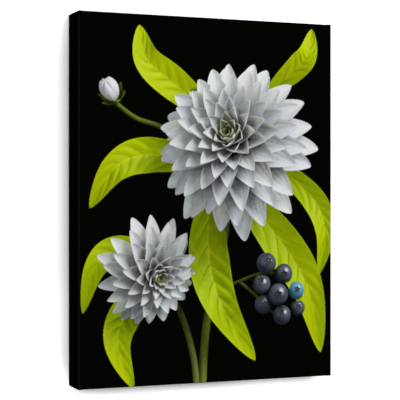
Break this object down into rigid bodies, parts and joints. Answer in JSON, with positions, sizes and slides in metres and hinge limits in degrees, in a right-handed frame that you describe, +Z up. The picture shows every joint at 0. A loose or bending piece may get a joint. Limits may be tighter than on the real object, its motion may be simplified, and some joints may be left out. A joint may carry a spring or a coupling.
{
  "type": "stretched canvas wall print",
  "caption": "Upright picture print on canvas, stretched round mitred pine bars and stapled behind, with a sawtooth hanger and rubber wall pads.",
  "frame": {"origin": "root of the middle notch in the sawtooth hanger's lower edge, where the wall's nail bears", "axes": "+X to the right of someone facing the print, +Y into the wall, +Z up; the print faces -Y"},
  "size_m": [0.3048, 0.0412, 0.4064],
  "materials": {
    "printed_canvas": "matte ink on fine woven canvas, print wrapped over the edges in solid black",
    "pine": "planed, unfinished pine",
    "staple_steel": "bright galvanised wire",
    "hanger_steel": "zinc-plated sheet",
    "pad_rubber": "matte moulded rubber"
  },
  "bodies": {
    "root": {"canvas": "printed_canvas", "hanger": "hanger_steel", "hanger_nail_left": "hanger_steel", "hanger_nail_right": "hanger_steel", "joint_staple_bottom_left": "staple_steel", "joint_staple_bottom_right": "staple_steel", "joint_staple_top_left": "staple_steel", "joint_staple_top_right": "staple_steel", "pad_left": "pad_rubber", "pad_right": "pad_rubber", "staple_bottom_1": "staple_steel", "staple_bottom_2": "staple_steel", "staple_bottom_3": "staple_steel", "staple_bottom_4": "staple_steel", "staple_bottom_5": "staple_steel", "staple_left_1": "staple_steel", "staple_left_2": "staple_steel", "staple_left_3": "staple_steel", "staple_left_4": "staple_steel", "staple_left_5": "staple_steel", "staple_left_6": "staple_steel", "staple_left_7": "staple_steel", "staple_right_1": "staple_steel", "staple_right_2": "staple_steel", "staple_right_3": "staple_steel", "staple_right_4": "staple_steel", "staple_right_5": "staple_steel", "staple_right_6": "staple_steel", "staple_right_7": "staple_steel", "staple_top_1": "staple_steel", "staple_top_2": "staple_steel", "staple_top_3": "staple_steel", "staple_top_4": "staple_steel", "staple_top_5": "staple_steel", "stretcher_bottom": "pine", "stretcher_left": "pine", "stretcher_right": "pine", "stretcher_top": "pine"}
  },
  "joints": []
}
